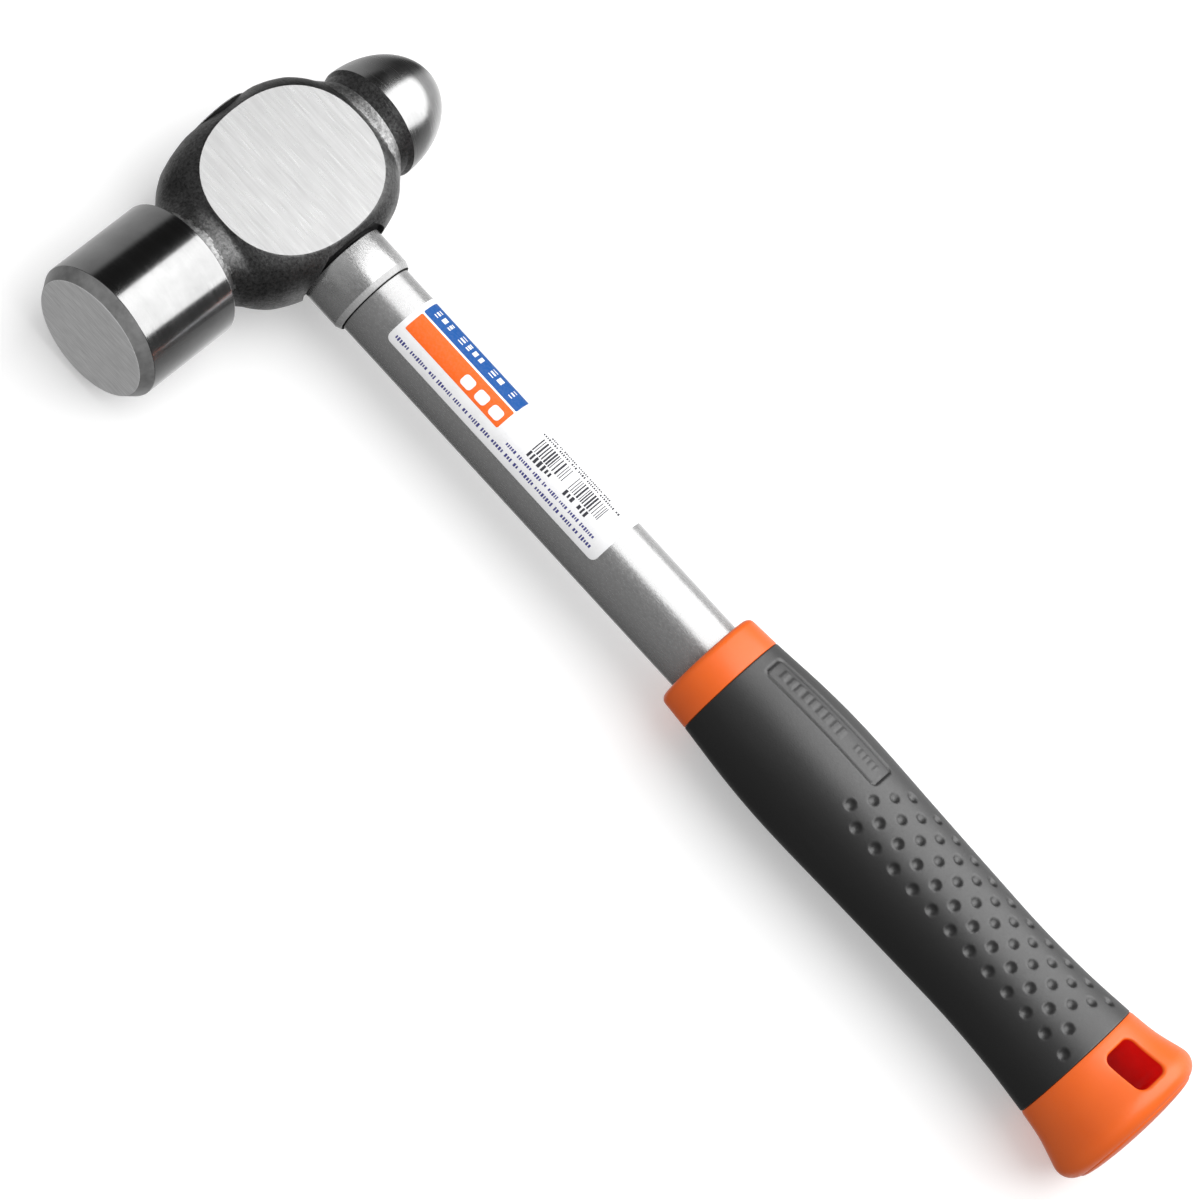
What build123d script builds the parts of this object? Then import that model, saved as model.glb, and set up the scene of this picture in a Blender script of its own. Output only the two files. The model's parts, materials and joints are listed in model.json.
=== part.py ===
# Ball peen hammer with a tubular steel shank and a two-shot moulded grip.
#
# Units are millimetres. The hammer lies on its side: the shank's axis runs along +X from the head
# to the butt, the striking face looks along -Y, the ball looks along +Y, and the two ground cheeks
# look along +Z and -Z. The model is drawn about the crossing of the shank's axis and the head's
# axis, then moved so that the origin is under the middle of the whole hammer, at its lowest level.
from build123d import *
import math
import os

# ---- driving dimensions ----

# head, forged steel, measured along the head's axis from the shank's axis
FACE_DISTANCE = 62.4          # striking face
FACE_RADIUS = 15.8            # flat of the striking face
FACE_CHAMFER_LENGTH = 3.1
POLL_RADIUS = 17.9
POLL_BACK = 33.0              # where the poll's cylinder ends towards the eye
POLL_BACK_ROUND = 0.7
NECK_RADIUS = 12.5
POLL_NECK_START = 29.4        # neck's smallest part on the face side
BALL_NECK_START = 27.0        # neck's smallest part on the ball side
BALL_RADIUS = 14.8
BALL_BASE = 31.2              # widest ring of the ball
BALL_TIP = 50.9
DOME_STEPS = 5                # points on the ball's half-ellipse outline
CHEEK_HALF = 12.7             # half the distance between the two ground cheeks

# eye block: half widths along the shank, half heights before grinding, and squareness of the
# section, at stations along the head's axis
EYE_STATIONS = [
    (0.0, 23.3, 17.7, 3.0),
    (10.0, 23.2, 16.9, 2.9),
    (16.0, 21.8, 15.6, 2.7),
    (21.0, 19.4, 13.7, 2.4),
    (26.0, 15.6, 12.2, 2.1),
    (30.0, 12.5, 11.9, 2.0),
]
SECTION_POINTS = 24
TOP_END = -23.0               # end of the eye farthest from the grip
SEAT_X = 22.0                 # spot face that the collar bears on
SEAT_RADIUS = 12.1
CUT_MARGIN = 1.0              # how far a cutting body reaches past what it cuts

# shank tube, with its end swaged down to pass through the eye
TUBE_RADIUS = 10.0
TUBE_WALL = 1.6
EYE_BORE_RADIUS = 9.4
EYE_FLARE_RADIUS = 9.9
EYE_FLARE_LENGTH = 10.0
SWAGE_STEP = 1.5              # length of the step between the swaged end and the full tube
TUBE_END = 262.0

# collar sleeve under the head
COLLAR_RADIUS = 11.25
COLLAR_END = 33.7
COLLAR_CHAMFER_LENGTH = 1.5
COLLAR_CHAMFER_DEPTH = 0.6

# pieces inside the tube
WEDGE_LENGTH = 12.0
DOWEL_END = 62.0
PLUG_LENGTH = 9.0
PLUG_FLANGE = 2.0

# grip
RING_FRONT = 147.8
RING_END = 156.7
RING_FRONT_RADIUS = 13.9
RING_END_RADIUS = 14.5
RING_ROUND = 1.8
SLEEVE_RADIUS = 12.4          # inner moulding under the soft cover
COVER_END = 274.6
COVER_END_RADIUS = 17.1
COVER_PROFILE = [(173.0, 15.95), (187.0, 16.4), (211.0, 15.9), (247.0, 15.3), (262.0, 15.9)]
BUTT_MAX_X = 290.4
BUTT_MAX_RADIUS = 20.4
BUTT_MID = (282.0, 18.2)
BUTT_RIM = [(293.9, 18.5), (295.6, 14.9), (296.3, 8.0)]   # rounded rim and nearly flat end
BUTT_END = 296.6
FLARE_START_SLOPE = 0.1       # rise of the butt's outline per millimetre, at the cover
FLARE_END_SLOPE = 0.3         # and at the widest ring

# hanging hole through the butt, along Z
HANG_HOLE_X = 283.7
HANG_HOLE_Y = 0.8
HANG_HOLE_LENGTH = 11.6
HANG_HOLE_WIDTH = 9.2
HANG_HOLE_ROUND = 2.2

# printed film on the shank
LABEL_START = 43.2
LABEL_END = 114.5
LABEL_HALF_ANGLE = 54.5
LABEL_THICKNESS = 0.12

# ---- derived values ----

TUBE_BORE = TUBE_RADIUS - TUBE_WALL
SWAGED_BORE = EYE_BORE_RADIUS - TUBE_WALL
FLARED_BORE = EYE_FLARE_RADIUS - TUBE_WALL
FLARE_START = TOP_END + EYE_FLARE_LENGTH
LENGTH_MIDDLE = (TOP_END + BUTT_END) / 2
WIDTH_MIDDLE = (BALL_TIP - FACE_DISTANCE) / 2
ORIGIN_SHIFT = Vector(-LENGTH_MIDDLE, -WIDTH_MIDDLE, BUTT_MAX_RADIUS)


def turned_about_shank(outline):
    """Solid of revolution about the shank's axis from an outline of (x, radius) edges."""
    return revolve(make_face(outline), Axis.X)


def turned_polygon(points):
    """Solid of revolution about the shank's axis from straight-sided (x, radius) points."""
    return turned_about_shank(Polyline(*points, close=True))


def eye_section(station, half_width, half_height, squareness):
    """Rounded section of the eye block in the plane at the given distance along the head."""
    power = 2 / squareness
    points = []
    for step in range(SECTION_POINTS):
        angle = 2 * math.pi * step / SECTION_POINTS
        across = math.copysign(abs(math.cos(angle)) ** power, math.cos(angle))
        upward = math.copysign(abs(math.sin(angle)) ** power, math.sin(angle))
        points.append((half_width * across, station, half_height * upward))
    return make_face(Spline(*points, periodic=True))


def eye_block():
    """Bulged middle of the head with both cheeks and the top end ground flat."""
    mirrored = [(-place, width, height, power) for place, width, height, power in EYE_STATIONS[1:]]
    stations = sorted(mirrored + EYE_STATIONS)
    body = loft([eye_section(*station) for station in stations])
    reach = 2 * EYE_STATIONS[0][1]
    trim = Pos(TOP_END + reach, 0, 0) * Box(2 * reach, 4 * reach, 2 * CHEEK_HALF)
    return body & trim


def poll_and_ball():
    """Poll, necks and ball as one turning about the head's axis; the face looks along -Y."""
    chamfer_start = FACE_DISTANCE - FACE_CHAMFER_LENGTH
    start = (0, -FACE_DISTANCE)
    face_side = Polyline(
        start,
        (FACE_RADIUS, -FACE_DISTANCE),
        (POLL_RADIUS, -chamfer_start),
        (POLL_RADIUS, -(POLL_BACK + POLL_BACK_ROUND)),
        (POLL_RADIUS - POLL_BACK_ROUND, -POLL_BACK),
        (NECK_RADIUS, -POLL_NECK_START),
        (NECK_RADIUS, BALL_NECK_START),
        (BALL_RADIUS, BALL_BASE),
    )
    dome_points = []
    for step in range(DOME_STEPS + 1):
        angle = math.pi / 2 * step / DOME_STEPS
        rise = (BALL_TIP - BALL_BASE) * math.sin(angle)
        dome_points.append((BALL_RADIUS * math.cos(angle), BALL_BASE + rise))
    dome_points[-1] = (0, BALL_TIP)
    dome = Spline(*dome_points, tangents=[(0, 1), (-1, 0)])
    axis_line = Line((0, BALL_TIP), start)
    return revolve(make_face([*face_side.edges(), dome, axis_line]), Axis.Y)


def eye_opening():
    """What the swaged tube fills in the head, with the seat that the collar bears on."""
    reach = EYE_STATIONS[0][1] + CUT_MARGIN
    return turned_polygon([
        (TOP_END - CUT_MARGIN, 0),
        (TOP_END - CUT_MARGIN, EYE_FLARE_RADIUS),
        (TOP_END, EYE_FLARE_RADIUS),
        (FLARE_START, EYE_BORE_RADIUS),
        (SEAT_X, EYE_BORE_RADIUS),
        (SEAT_X, SEAT_RADIUS),
        (reach, SEAT_RADIUS),
        (reach, 0),
    ])


def hammer_head():
    return eye_block() + poll_and_ball() - eye_opening()


def shank_tube():
    """Steel tube: flared in the eye's top, swaged through the eye, full size outside it."""
    return turned_polygon([
        (TOP_END, EYE_FLARE_RADIUS),
        (FLARE_START, EYE_BORE_RADIUS),
        (SEAT_X, EYE_BORE_RADIUS),
        (SEAT_X + SWAGE_STEP, TUBE_RADIUS),
        (TUBE_END, TUBE_RADIUS),
        (TUBE_END, TUBE_BORE),
        (SEAT_X + SWAGE_STEP, TUBE_BORE),
        (SEAT_X, SWAGED_BORE),
        (FLARE_START, SWAGED_BORE),
        (TOP_END, FLARED_BORE),
    ])


def shank_collar():
    """Sleeve pressed on the tube against the head's seat."""
    chamfer_start = COLLAR_END - COLLAR_CHAMFER_LENGTH
    return turned_polygon([
        (SEAT_X, EYE_BORE_RADIUS),
        (SEAT_X, COLLAR_RADIUS),
        (chamfer_start, COLLAR_RADIUS),
        (COLLAR_END, COLLAR_RADIUS - COLLAR_CHAMFER_DEPTH),
        (COLLAR_END, TUBE_RADIUS),
        (SEAT_X + SWAGE_STEP, TUBE_RADIUS),
    ])


def eye_wedge():
    """Tapered steel plug that spreads the tube's end in the eye."""
    return turned_polygon([
        (TOP_END, 0),
        (TOP_END, FLARED_BORE),
        (FLARE_START, SWAGED_BORE),
        (TOP_END + WEDGE_LENGTH, SWAGED_BORE),
        (TOP_END + WEDGE_LENGTH, 0),
    ])


def damping_dowel():
    """Hardwood dowel behind the wedge that stiffens the tube and damps its ring."""
    return turned_polygon([
        (TOP_END + WEDGE_LENGTH, 0),
        (TOP_END + WEDGE_LENGTH, SWAGED_BORE),
        (DOWEL_END, SWAGED_BORE),
        (DOWEL_END, 0),
    ])


def tube_end_plug():
    """Flanged plastic plug that closes the tube inside the grip."""
    return turned_polygon([
        (TUBE_END - PLUG_LENGTH, 0),
        (TUBE_END - PLUG_LENGTH, TUBE_BORE),
        (TUBE_END, TUBE_BORE),
        (TUBE_END, TUBE_RADIUS),
        (TUBE_END + PLUG_FLANGE, TUBE_RADIUS),
        (TUBE_END + PLUG_FLANGE, 0),
    ])


def hang_hole():
    """Rounded rectangular cut through the butt, along Z."""
    outline = RectangleRounded(HANG_HOLE_LENGTH, HANG_HOLE_WIDTH, HANG_HOLE_ROUND)
    cut = extrude(outline, amount=2 * BUTT_MAX_RADIUS, both=True)
    return Pos(HANG_HOLE_X, HANG_HOLE_Y, 0) * cut


def grip_core():
    """Hard inner moulding: front ring, sleeve under the cover, and flared butt."""
    plug_end = TUBE_END + PLUG_FLANGE
    arc_inset = RING_ROUND * (1 - math.sqrt(0.5))
    front = [
        Line((RING_FRONT, TUBE_RADIUS), (RING_FRONT, RING_FRONT_RADIUS - RING_ROUND)),
        ThreePointArc(
            (RING_FRONT, RING_FRONT_RADIUS - RING_ROUND),
            (RING_FRONT + arc_inset, RING_FRONT_RADIUS - arc_inset),
            (RING_FRONT + RING_ROUND, RING_FRONT_RADIUS),
        ),
    ]
    sleeve = Polyline(
        (RING_FRONT + RING_ROUND, RING_FRONT_RADIUS),
        (RING_END, RING_END_RADIUS),
        (RING_END, SLEEVE_RADIUS),
        (COVER_END, SLEEVE_RADIUS),
        (COVER_END, COVER_END_RADIUS),
    )
    flare = Spline(
        (COVER_END, COVER_END_RADIUS),
        BUTT_MID,
        (BUTT_MAX_X, BUTT_MAX_RADIUS),
        tangents=[(1, FLARE_START_SLOPE), (1, FLARE_END_SLOPE)],
    )
    rim = Spline(
        (BUTT_MAX_X, BUTT_MAX_RADIUS),
        *BUTT_RIM,
        (BUTT_END, 0),
        tangents=[(1, 0), (0, -1)],
    )
    inside = Polyline(
        (BUTT_END, 0),
        (plug_end, 0),
        (plug_end, TUBE_RADIUS),
        (RING_FRONT, TUBE_RADIUS),
    )
    outline = [*front, *sleeve.edges(), flare, rim, *inside.edges()]
    return turned_about_shank(outline) - hang_hole()


def grip_cover():
    """Soft rubber cover between the front ring and the butt, flush with both."""
    outer = Spline((RING_END, RING_END_RADIUS), *COVER_PROFILE, (COVER_END, COVER_END_RADIUS))
    rest = Polyline(
        (COVER_END, COVER_END_RADIUS),
        (COVER_END, SLEEVE_RADIUS),
        (RING_END, SLEEVE_RADIUS),
        (RING_END, RING_END_RADIUS),
    )
    return turned_about_shank([outer, *rest.edges()])


def shank_label():
    """Thin film wrapped on the tube, centred on the +Z side."""
    outer_radius = TUBE_RADIUS + LABEL_THICKNESS
    outline = Polyline(
        (LABEL_START, TUBE_RADIUS),
        (LABEL_START, outer_radius),
        (LABEL_END, outer_radius),
        (LABEL_END, TUBE_RADIUS),
        close=True,
    )
    wrap = revolve(make_face(outline), Axis.X, revolution_arc=2 * LABEL_HALF_ANGLE)
    return Rotation(90 - LABEL_HALF_ANGLE, 0, 0) * wrap


PIECES = {
    "hammer_head": hammer_head,
    "shank_tube": shank_tube,
    "shank_collar": shank_collar,
    "eye_wedge": eye_wedge,
    "damping_dowel": damping_dowel,
    "tube_end_plug": tube_end_plug,
    "grip_core": grip_core,
    "grip_cover": grip_cover,
    "shank_label": shank_label,
}

os.makedirs("parts", exist_ok=True)
for node, make_piece in PIECES.items():
    piece = Pos(ORIGIN_SHIFT) * make_piece()
    box = piece.bounding_box()
    print(node, round(piece.volume, 1), piece.is_valid, tuple(box.min), tuple(box.max))
    export_step(piece, f"parts/{node}.step")
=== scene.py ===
import json
import math
import random

import bmesh
import bpy
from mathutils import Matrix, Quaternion, Vector, noise


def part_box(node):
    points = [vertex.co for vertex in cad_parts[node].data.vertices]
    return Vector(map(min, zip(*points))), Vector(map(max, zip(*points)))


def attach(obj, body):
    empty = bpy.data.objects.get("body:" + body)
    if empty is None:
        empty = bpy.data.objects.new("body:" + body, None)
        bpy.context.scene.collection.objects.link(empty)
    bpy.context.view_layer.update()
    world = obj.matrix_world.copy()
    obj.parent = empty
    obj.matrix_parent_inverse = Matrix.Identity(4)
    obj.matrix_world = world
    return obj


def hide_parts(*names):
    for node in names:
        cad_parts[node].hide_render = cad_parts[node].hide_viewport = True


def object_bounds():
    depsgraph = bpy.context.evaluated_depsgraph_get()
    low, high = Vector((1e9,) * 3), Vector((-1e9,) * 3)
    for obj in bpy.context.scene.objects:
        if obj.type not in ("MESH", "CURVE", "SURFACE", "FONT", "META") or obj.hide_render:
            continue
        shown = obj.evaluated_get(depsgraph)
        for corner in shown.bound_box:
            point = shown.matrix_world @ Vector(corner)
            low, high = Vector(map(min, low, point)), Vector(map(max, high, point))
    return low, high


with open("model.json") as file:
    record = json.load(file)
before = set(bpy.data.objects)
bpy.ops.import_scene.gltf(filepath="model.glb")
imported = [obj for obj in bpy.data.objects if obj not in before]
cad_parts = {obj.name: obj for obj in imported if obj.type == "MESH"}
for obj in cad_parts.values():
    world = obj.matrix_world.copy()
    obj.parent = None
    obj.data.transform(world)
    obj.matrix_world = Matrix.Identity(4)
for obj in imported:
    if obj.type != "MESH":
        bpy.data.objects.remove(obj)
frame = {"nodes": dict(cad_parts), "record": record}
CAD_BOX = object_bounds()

MM = 0.001
MOUNTS = {mount["name"]: mount for mount in frame["record"]["mounts"]}
CENTRE = Vector(MOUNTS["striking_face"]["pos_m"])
CENTRE.y = (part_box("shank_tube")[0].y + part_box("shank_tube")[1].y) / 2


def local_box(node):
    """A CAD node's lowest and highest corner, in millimetres about the head's centre."""
    low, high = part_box(node)
    return (low - CENTRE) / MM, (high - CENTRE) / MM


HEAD_LOW, HEAD_HIGH = local_box("hammer_head")
TUBE_LOW, TUBE_HIGH = local_box("shank_tube")
COLLAR_LOW, COLLAR_HIGH = local_box("shank_collar")
WEDGE_LOW, WEDGE_HIGH = local_box("eye_wedge")
CORE_LOW, CORE_HIGH = local_box("grip_core")
COVER_LOW, COVER_HIGH = local_box("grip_cover")
LABEL_LOW, LABEL_HIGH = local_box("shank_label")
PLUG_HIGH = local_box("tube_end_plug")[1]

# ---- head ----
FACE_DISTANCE = -HEAD_LOW.y
POLL_RADIUS = HEAD_HIGH.z
BALL_TIP = HEAD_HIGH.y
TOP_END = HEAD_LOW.x
CHEEK_HALF = (MOUNTS["upper_cheek"]["pos_m"][2] - CENTRE.z) / MM
FACE_RADIUS = 15.8
FACE_CHAMFER_LENGTH = 3.1
FACE_EDGE_ROUND = 0.45
POLL_BACK = 33.0
POLL_BACK_ROUND = 0.5
POLL_NECK = (29.0, 12.5)        # distance along the head, radius
BALL_NECK = (27.3, 12.5)
POLL_NECK_BARE = 28.6           # where the forging's scale thins towards the poll
NECK_EDGE_WANDER = 0.9
NECK_WAIST = (24.7, 11.9)       # groove between the ground cheek and the necks
BALL_RADIUS = 14.8
BALL_RIM_END = 30.9             # where the forged rim ends and the polished dome starts
CHEEK_ALONG_HEAD = 23.05        # half length of the ground cheek, along the head
CHEEK_ALONG_SHANK = 20.0        # half width of the ground cheek, along the shank
CHEEK_POWER = 2.28
CHEEK_EDGE = 0.14               # width of the broken edge round the cheek
EYE_WIDTHS = [(0, 23.3), (10, 23.25), (13, 22.7), (16, 21.8), (19, 20.6), (22, 18.7), (25, 16.2),
              (27, 14.3), (29, 12.9)]
EYE_SQUARENESS = [(0, 3.0), (10, 2.9), (16, 2.7), (21, 2.4), (26, 2.1), (29, 2.0)]
SEAT_X = COLLAR_LOW.x
SEAT_RADIUS = 12.9
SEAT_RELIEF = 0.8               # depth of the groove between the head and the collar, whose faces get painted shade
SEAT_REACH = 3.0
EYE_BORE_RADIUS = 9.4
EYE_FLARE_RADIUS = 9.9
EYE_FLARE_LENGTH = 10.0
EYE_MOUTH = [(-1, 0.35), (0, 0.12), (0.4, 0)]      # broken edge: place from its end, more radius
POLL_FOOT = (1.6, 0.5)          # corner behind the poll, off the neck: along the head, outwards
RIM_BEVEL = (1.3, 0.75)         # start of the ball rim's bevel: along the head, inwards
RIM_LIP = (0.1, 0.06)
NECK_FILLET = 0.9
FORGING_LUMPS = 0.09            # height of the forging's unevenness

# ---- shank, collar and wedge ----
TUBE_RADIUS = TUBE_HIGH.z
TUBE_WALL = 1.6
SWAGE_STEP = 1.5
COLLAR_RADIUS = COLLAR_HIGH.z
COLLAR_CHAMFER_LENGTH = 1.5
COLLAR_CHAMFER_DEPTH = 0.6
COLLAR_SHADOW = 0.3             # painted shadow line on the tube beside the collar

# ---- grip ----
RING_FRONT_RADIUS = 13.9
RING_END_RADIUS = 14.5
RING_ROUND = 1.8
SLEEVE_RADIUS = 12.4
COVER_PROFILE = [(173, 15.95), (187, 16.4), (211, 15.9), (230, 15.5), (247, 15.3), (262, 15.9)]
COVER_END_RADIUS = COVER_HIGH.z
BUTT_RADIUS = CORE_HIGH.z
BUTT_MAX_X = 290.4
BUTT_MID = (282.0, 18.2)
BUTT_ROUND = 4.5                # round of the butt's rim
BUTT_FLARE_SLOPE = 16.7         # degrees, where the flare runs into that round
BUTT_RIM_TURN = 76.0            # degrees that the round goes past the widest ring
SEAM_ROUND = 0.35               # rounded edges where the cover meets the orange moulding

HOLE_CENTRE = ((MOUNTS["hang_hole"]["pos_m"][0] - CENTRE.x) / MM,
               (MOUNTS["hang_hole"]["pos_m"][1] - CENTRE.y) / MM)
HOLE_LENGTH = MOUNTS["hang_hole"]["dims"]["slot_length_mm"]
HOLE_WIDTH = 2 * MOUNTS["hang_hole"]["dims"]["hole_r_mm"]
HOLE_CORNER = 2.2
HOLE_EDGE_ROUND = 0.8

# dimples of the cover: rows round the grip, each row shifted towards the butt
DIMPLE_RADIUS = 1.45
DIMPLE_DEPTH = 0.68
DIMPLE_PITCH = 6.37
DIMPLE_ROWS = 5
DIMPLE_FIRST_ANGLE = 32.7       # from +Z, positive towards the striking face
DIMPLE_ROW_ANGLE = 16.9
DIMPLE_FIRST_X = 200.9
DIMPLE_ROW_SHIFT = 2.8
DIMPLE_COUNTS = [12, 11, 10, 10, 10]
DIMPLE_LEAD_SHIFT = (-4.8, -9.5)

PANEL_START = 159.9
PANEL_END = 197.0
PANEL_ANGLES = (-31.5, -1.5)
PANEL_CORNER = 1.6
PANEL_GROOVE = 0.45
PANEL_GROOVE_DEPTH = 0.36
PANEL_DEPTH = 0.18
PANEL_BARS = [(163.5, 184.2, 2.3, 1.7), (187.0, 194.6, 1.6, 1.1)]    # start, end, pitch, half height
PANEL_BAR_HEIGHT = 0.14

# ---- label ----
LABEL_HALF_ANGLE = 54.4
LABEL_CORNER = 1.6
INK_HEIGHT = 0.02
BLUE_BAND = (44.7, 76.6, -47.0, -9.5)
ORANGE_BLOCK = (44.8, 76.5, -6.0, 26.7)
BAR_BLOCK = (85.6, 108.6, -13.4, 11.5)
BAR_GAP = 0.8                   # half the gap in the middle of the bars
ORANGE_MARKS = 3
MARK_START = 17.6               # plain marks on the orange block: first place, pitch, length, angles
MARK_PITCH = 4.8
MARK_LENGTH = 3.4
MARK_ANGLES = (5, 22)
FILM_SINK = 0.01                # how far the film's edges go into the tube
WHITE, BLUE, ORANGE, DARK, VIOLET = range(5)       # the label's inks
PRINT_ROWS = [                  # x from, x to, angle, height of the strokes, ink, seed
    (LABEL_LOW.x + 1.6, LABEL_HIGH.x - 2, 42.5, 1.05, VIOLET, 5),
    (BAR_BLOCK[0] - 5, LABEL_HIGH.x - 2.5, 31, 0.95, VIOLET, 9),
    (BAR_BLOCK[0] - 1, LABEL_HIGH.x - 3, -20, 0.85, DARK, 6),
    (BAR_BLOCK[0] + 1, BAR_BLOCK[1] - 2, -26.5, 0.8, DARK, 7),
]
STROKES_IN_GROUP = (2, 8)
STROKE_WIDTHS = (0.3, 0.55)     # these four are parts of the row's height
STROKE_HEIGHTS = (0.6, 1.0)
STROKE_GAP = 0.28
GROUP_GAP = 0.6
BAR_WIDTHS = (0.2, 0.34, 0.5)
BAR_SPACES = (0.26, 0.4, 0.55)


def place(point):
    return CENTRE + Vector(point) * MM


def about_shank(x, radius, angle):
    """Point at an angle in degrees from +Z towards the striking face."""
    turn = math.radians(angle)
    return (x, -radius * math.sin(turn), radius * math.cos(turn))


def through(points):
    """Smooth function through (place, value) points, by cubic spans."""
    last = len(points) - 1
    slopes = []
    for index in range(last + 1):
        low = points[max(index - 1, 0)]
        high = points[min(index + 1, last)]
        slopes.append((high[1] - low[1]) / (high[0] - low[0]))

    def value(at):
        index = 0
        while index < last - 1 and at > points[index + 1][0]:
            index += 1
        start, end = points[index], points[index + 1]
        span = end[0] - start[0]
        t = min(max((at - start[0]) / span, 0.0), 1.0)
        rise = t * t * (3 - 2 * t)
        bend = t * (1 - t)
        return (start[1] * (1 - rise) + end[1] * rise
                + span * bend * ((1 - t) * slopes[index] - t * slopes[index + 1]))

    return value


def rounded(corners, steps=5):
    """Outline through (a, b, radius) corners; a corner with a radius becomes an arc."""
    outline = []
    for index, (a, b, radius) in enumerate(corners):
        here = Vector((a, b))
        if not radius:
            outline.append((a, b))
            continue
        before = (Vector(corners[index - 1][:2]) - here).normalized()
        after = (Vector(corners[(index + 1) % len(corners)][:2]) - here).normalized()
        half = before.angle(after) / 2
        middle = here + (before + after).normalized() * (radius / math.sin(half))
        start = here + before * (radius / math.tan(half)) - middle
        end = here + after * (radius / math.tan(half)) - middle
        for step in range(steps + 1):
            outline.append(tuple(middle + start.slerp(end, step / steps) * radius))
    return outline


def between(start, end, count):
    """Evenly spaced numbers from start to end, both included."""
    return [start + (end - start) * step / count for step in range(count + 1)]


def finish_mesh(name, sheet, materials, sharp=32.0):
    """Object in the frame's metres from a bmesh drawn in millimetres about the head's centre."""
    bmesh.ops.remove_doubles(sheet, verts=sheet.verts, dist=0.001)
    bmesh.ops.recalc_face_normals(sheet, faces=sheet.faces)
    for vertex in sheet.verts:
        vertex.co = place(vertex.co)
    mesh = bpy.data.meshes.new(name)
    sheet.to_mesh(mesh)
    sheet.free()
    for material in materials:
        mesh.materials.append(material)
    for face in mesh.polygons:
        face.use_smooth = True
    mesh.set_sharp_from_angle(angle=math.radians(sharp))
    piece = bpy.data.objects.new(name, mesh)
    bpy.context.scene.collection.objects.link(piece)
    return piece


def skin(sheet, rings, closed=True, wrap=False, keep=None):
    """Quads between neighbouring rings of points; wrap joins the last ring to the first."""
    rows = [[sheet.verts.new(point) for point in ring] for ring in rings]
    count = len(rows[0])
    for row in range(len(rows) - (0 if wrap else 1)):
        upper, lower = rows[row], rows[(row + 1) % len(rows)]
        for column in range(count - (0 if closed else 1)):
            if keep and not keep(row, column):
                continue
            beside = (column + 1) % count
            sheet.faces.new((upper[column], upper[beside], lower[beside], lower[column]))
    return rows


def turned_ring(x, radius, segments):
    """Ring of points about the shank's axis."""
    return [about_shank(x, radius, 360 * step / segments) for step in range(segments)]


def turned(name, outline, materials, segments=160, sharp=32.0):
    """Piece turned about the shank's axis from a closed outline of (x, radius)."""
    sheet = bmesh.new()
    skin(sheet, [turned_ring(x, radius, segments) for x, radius in outline], wrap=True)
    return finish_mesh(name, sheet, materials, sharp)


def joined(piece, node):
    """Puts a finished piece on the hammer in place of its CAD node."""
    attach(piece, "root")
    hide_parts(node)
    return piece


def paint(piece, rule):
    """Gives each face the material number that rule says for its centre and normal, in mm."""
    for face in piece.data.polygons:
        face.material_index = rule((face.center - CENTRE) / MM, face.normal)


# ---------------------------------------------------------------- materials

GRAIN_SPAN = (0.3, 0.7)         # part of a grain's range over which a colour or gloss changes
SOCKETS = {
    "metallic": "Metallic",
    "ior": "IOR",
    "specular": "Specular IOR Level",
    "emission": "Emission Color",
    "glow": "Emission Strength",
}


def grey(value):
    return (value, value, value)


def new_node(tree, kind, inputs, **settings):
    """Node with its settings, and with each input linked to a socket or set to a value."""
    node = tree.nodes.new(kind)
    for name, value in settings.items():
        setattr(node, name, value)
    for key, value in inputs.items():
        if isinstance(value, bpy.types.NodeSocket):
            tree.links.new(value, node.inputs[key])
        else:
            node.inputs[key].default_value = value
    return node


def map_range(tree, value, start, end, low, high):
    """Value from start..end mapped to low..high."""
    limits = {"From Min": start, "From Max": end, "To Min": low, "To Max": high}
    return new_node(tree, "ShaderNodeMapRange", {"Value": value, **limits}).outputs["Result"]


def colour_ramp(tree, value, stops):
    """Colour over a value from 0 to 1; stops are (place, colour)."""
    node = new_node(tree, "ShaderNodeValToRGB", {"Fac": value})
    ramp = node.color_ramp
    while len(ramp.elements) < len(stops):
        ramp.elements.new(0.5)
    for element, (at, colour) in zip(ramp.elements, stops):
        element.position = at
        element.color = (*colour, 1)
    return node.outputs["Color"]


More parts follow.
